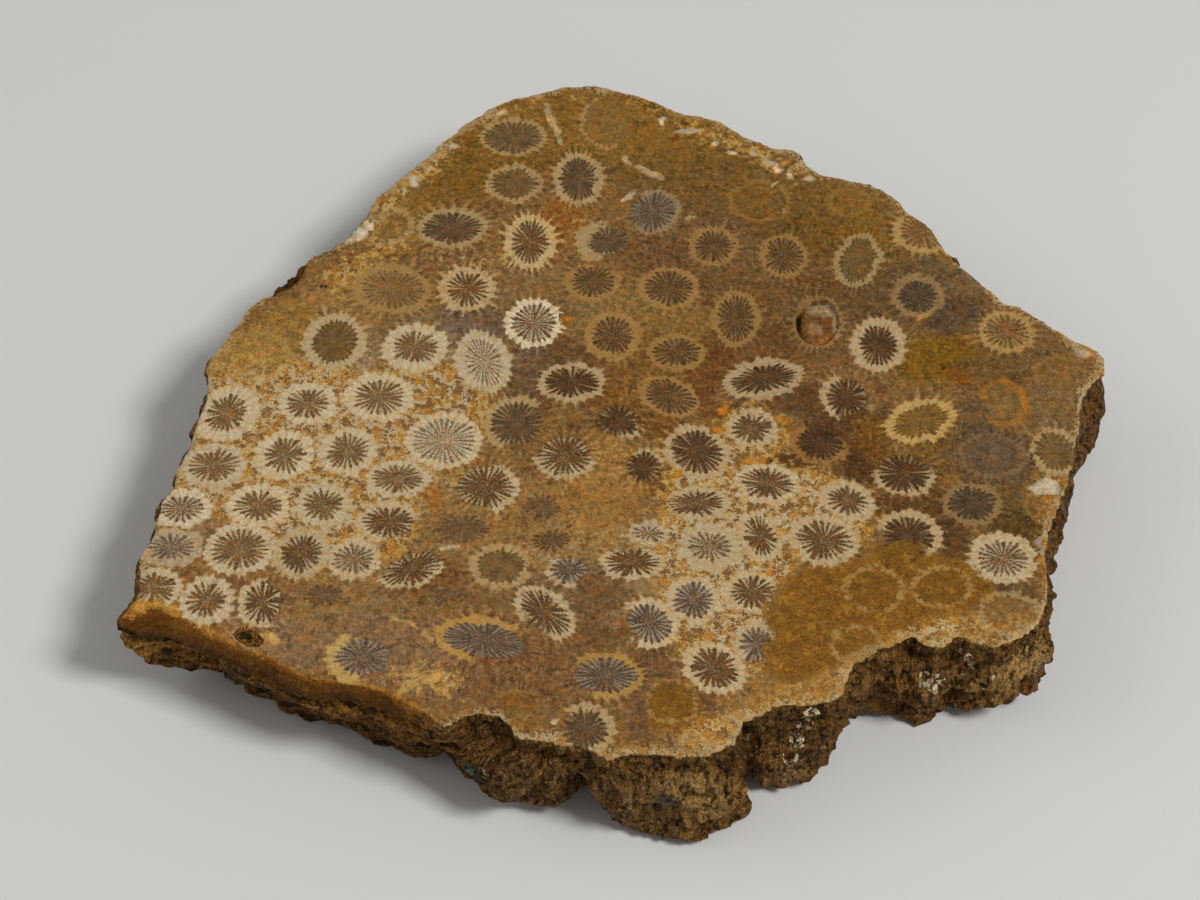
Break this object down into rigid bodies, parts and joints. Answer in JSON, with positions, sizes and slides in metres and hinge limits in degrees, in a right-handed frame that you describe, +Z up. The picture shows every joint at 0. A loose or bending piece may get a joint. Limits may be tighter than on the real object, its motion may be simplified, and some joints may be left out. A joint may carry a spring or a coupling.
{
  "type": "fossil coral slab",
  "caption": "Flat irregular slab of agatised fossil coral with a polished flower-patterned face, rough broken sides and a natural underside to rest on.",
  "frame": {"origin": "centre of the footprint's bounding box, on the plane it rests on", "axes": "+X along the longer side of the slab, to the right as the broken front faces the viewer; -Y towards that front; +Z up through the polished face"},
  "size_m": [0.1408, 0.1302, 0.018],
  "materials": {
    "coral_slab": "polished face, rough broken sides"
  },
  "bodies": {
    "root": {"coral_slab": "coral_slab"}
  },
  "joints": []
}
